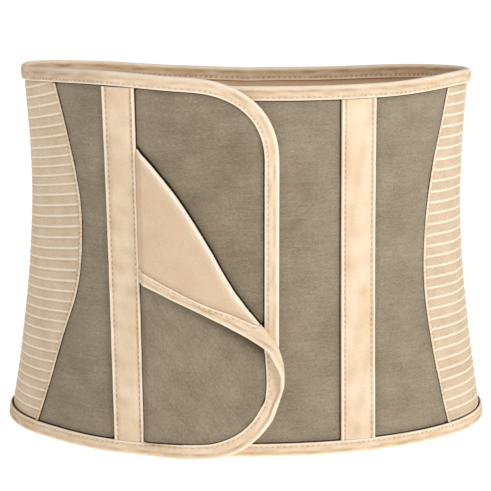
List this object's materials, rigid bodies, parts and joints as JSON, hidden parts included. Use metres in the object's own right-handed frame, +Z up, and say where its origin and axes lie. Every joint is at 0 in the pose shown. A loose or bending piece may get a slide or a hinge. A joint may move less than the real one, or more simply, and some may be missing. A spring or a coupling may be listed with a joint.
{
  "type": "abdominal binder",
  "caption": "Wrap-around abdominal binder: cloth waist belt with bound edges, ribbed elastic side panels, two boning strips and a rounded over flap with its outer corner turned down.",
  "frame": {"origin": "centre of the bounding box in plan, on the plane of the bottom rim", "axes": "+Z up to the top rim, +X to the viewer's right seen from the front, -Y to the front with the over flap"},
  "size_m": [0.3396, 0.2358, 0.2582],
  "materials": {
    "taupe_cloth": "brushed loop cloth, matte",
    "lining_cloth": "plain knitted lining, matte",
    "ribbed_elastic": "ribbed elastic webbing, matte",
    "binding_tape": "woven tape, soft sheen",
    "seam_tape": "narrow woven tape, matte",
    "hook_tape": "hook tape, matte"
  },
  "bodies": {
    "root": {"front_panel_right": "taupe_cloth", "front_right_lining": "lining_cloth", "side_panel_right": "ribbed_elastic", "back_panel": "taupe_cloth", "back_lining": "lining_cloth", "side_panel_left": "ribbed_elastic", "front_panel_left": "taupe_cloth", "front_left_lining": "lining_cloth", "top_binding": "binding_tape", "bottom_binding": "binding_tape", "under_flap_binding": "binding_tape", "hook_patch": "hook_tape", "boning_strip_left": "binding_tape", "boning_strip_right": "binding_tape", "seam_tape_left_front": "seam_tape", "seam_tape_left_back": "seam_tape", "seam_tape_right_front": "seam_tape", "seam_tape_right_back": "seam_tape", "flap_outer": "taupe_cloth", "flap_lining": "lining_cloth", "flap_binding": "binding_tape"}
  },
  "joints": []
}
